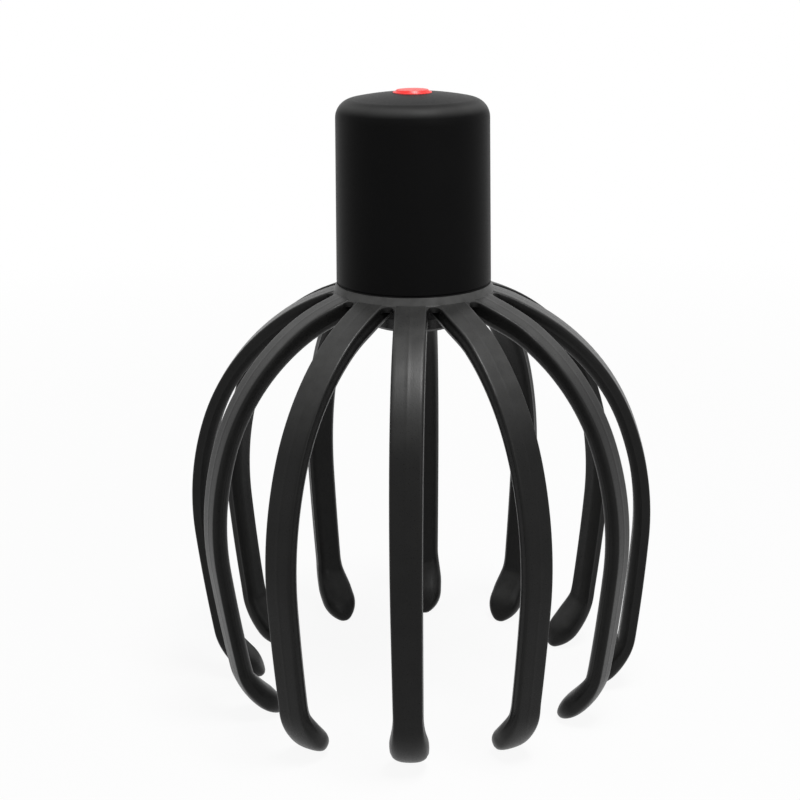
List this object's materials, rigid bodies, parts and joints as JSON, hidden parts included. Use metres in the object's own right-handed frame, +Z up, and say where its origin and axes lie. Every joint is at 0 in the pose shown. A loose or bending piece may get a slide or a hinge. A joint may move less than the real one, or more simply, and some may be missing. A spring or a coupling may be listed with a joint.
{
  "type": "electric scalp massager",
  "caption": "Battery scalp massager: drafted round handle with a push button on its domed top, standing on a hub of curved, springy massage claws, with a vibrating motor inside.",
  "frame": {"origin": "centre of the ring of claw tips, on the surface that the massager stands on", "axes": "+Z up along the handle's axis; claw 1 points along -Y, the charging socket is at the back, along +Y"},
  "size_m": [0.1398, 0.1398, 0.187],
  "materials": {
    "housing_shell": "soft-touch coating over moulded ABS",
    "button_cap": "satin moulded plastic",
    "claw_rubber": "satin moulded elastomer",
    "cap_plastic": "fine-textured moulded ABS",
    "gasket_rubber": "matt silicone",
    "frame_plastic": "natural ABS",
    "board_laminate": "solder mask",
    "component_body": "moulded packages",
    "plunger_plastic": "natural nylon",
    "jack_plastic": "moulded nylon",
    "screw_steel": "zinc-plated steel",
    "can_steel": "drawn steel",
    "end_cap_nylon": "moulded nylon",
    "magnet_ferrite": "sintered ferrite",
    "contact_brass": "stamped brass",
    "bush_bronze": "sintered bronze",
    "core_steel": "stacked laminations",
    "winding_copper": "enamelled copper wire",
    "weight_metal": "sintered steel",
    "cell_pouch": "laminated foil",
    "foam_pad": "closed-cell foam",
    "lead_red": "PVC insulation",
    "lead_black": "PVC insulation"
  },
  "bodies": {
    "housing": {"housing": "housing_shell", "switch_body": "component_body", "control_board": "board_laminate", "board_screws": "screw_steel", "board_components": "component_body", "charging_jack": "jack_plastic", "claw_hub": "claw_rubber", "weight_cap": "cap_plastic", "seam_gasket": "gasket_rubber", "housing_screws": "screw_steel", "motor_can": "can_steel", "motor_end_cap": "end_cap_nylon", "motor_magnets": "magnet_ferrite", "motor_brushes": "contact_brass", "motor_terminals": "contact_brass", "front_bush": "bush_bronze", "rear_bush": "bush_bronze", "inner_frame": "frame_plastic", "frame_screws": "screw_steel", "battery_cell": "cell_pouch", "battery_foam": "foam_pad", "motor_leads": "lead_red", "battery_leads": "lead_black"},
    "button": {"power_button": "button_cap", "switch_plunger": "plunger_plastic"},
    "rotor": {"motor_shaft": "can_steel", "armature_core": "core_steel", "armature_windings": "winding_copper", "commutator": "contact_brass", "eccentric_weight": "weight_metal"},
    "claw_01": {"claw_01": "claw_rubber"},
    "claw_02": {"claw_02": "claw_rubber"},
    "claw_03": {"claw_03": "claw_rubber"},
    "claw_04": {"claw_04": "claw_rubber"},
    "claw_05": {"claw_05": "claw_rubber"},
    "claw_06": {"claw_06": "claw_rubber"},
    "claw_07": {"claw_07": "claw_rubber"},
    "claw_08": {"claw_08": "claw_rubber"},
    "claw_09": {"claw_09": "claw_rubber"},
    "claw_10": {"claw_10": "claw_rubber"},
    "claw_11": {"claw_11": "claw_rubber"},
    "claw_12": {"claw_12": "claw_rubber"}
  },
  "joints": [
    {"name": "button_press", "type": "slide", "parent": "housing", "child": "button", "axis": [0, 0, -1], "range_m": [0, 0.0006], "stiffness_N_per_m": 2000},
    {"name": "rotor_spin", "type": "hinge", "parent": "housing", "child": "rotor", "pos_m": [0, 0, 0.12484], "axis": [0, 0, 1], "continuous": true},
    {"name": "claw_01_flex", "type": "hinge", "parent": "housing", "child": "claw_01", "pos_m": [0, -0.02948, 0.12309], "axis": [-1, 0, 0], "range_deg": [-4, 18], "stiffness_Nm_per_rad": 0.6},
    {"name": "claw_02_flex", "type": "hinge", "parent": "housing", "child": "claw_02", "pos_m": [0.01474, -0.02553, 0.12309], "axis": [-0.866, -0.5, 0], "range_deg": [-4, 18], "stiffness_Nm_per_rad": 0.6},
    {"name": "claw_03_flex", "type": "hinge", "parent": "housing", "child": "claw_03", "pos_m": [0.02553, -0.01474, 0.12309], "axis": [-0.5, -0.866, 0], "range_deg": [-4, 18], "stiffness_Nm_per_rad": 0.6},
    {"name": "claw_04_flex", "type": "hinge", "parent": "housing", "child": "claw_04", "pos_m": [0.02948, 0, 0.12309], "axis": [0, -1, 0], "range_deg": [-4, 18], "stiffness_Nm_per_rad": 0.6},
    {"name": "claw_05_flex", "type": "hinge", "parent": "housing", "child": "claw_05", "pos_m": [0.02553, 0.01474, 0.12309], "axis": [0.5, -0.866, 0], "range_deg": [-4, 18], "stiffness_Nm_per_rad": 0.6},
    {"name": "claw_06_flex", "type": "hinge", "parent": "housing", "child": "claw_06", "pos_m": [0.01474, 0.02553, 0.12309], "axis": [0.866, -0.5, 0], "range_deg": [-4, 18], "stiffness_Nm_per_rad": 0.6},
    {"name": "claw_07_flex", "type": "hinge", "parent": "housing", "child": "claw_07", "pos_m": [0, 0.02948, 0.12309], "axis": [1, 0, 0], "range_deg": [-4, 18], "stiffness_Nm_per_rad": 0.6},
    {"name": "claw_08_flex", "type": "hinge", "parent": "housing", "child": "claw_08", "pos_m": [-0.01474, 0.02553, 0.12309], "axis": [0.866, 0.5, 0], "range_deg": [-4, 18], "stiffness_Nm_per_rad": 0.6},
    {"name": "claw_09_flex", "type": "hinge", "parent": "housing", "child": "claw_09", "pos_m": [-0.02553, 0.01474, 0.12309], "axis": [0.5, 0.866, 0], "range_deg": [-4, 18], "stiffness_Nm_per_rad": 0.6},
    {"name": "claw_10_flex", "type": "hinge", "parent": "housing", "child": "claw_10", "pos_m": [-0.02948, 0, 0.12309], "axis": [0, 1, 0], "range_deg": [-4, 18], "stiffness_Nm_per_rad": 0.6},
    {"name": "claw_11_flex", "type": "hinge", "parent": "housing", "child": "claw_11", "pos_m": [-0.02553, -0.01474, 0.12309], "axis": [-0.5, 0.866, 0], "range_deg": [-4, 18], "stiffness_Nm_per_rad": 0.6},
    {"name": "claw_12_flex", "type": "hinge", "parent": "housing", "child": "claw_12", "pos_m": [-0.01474, -0.02553, 0.12309], "axis": [-0.866, 0.5, 0], "range_deg": [-4, 18], "stiffness_Nm_per_rad": 0.6}
  ]
}
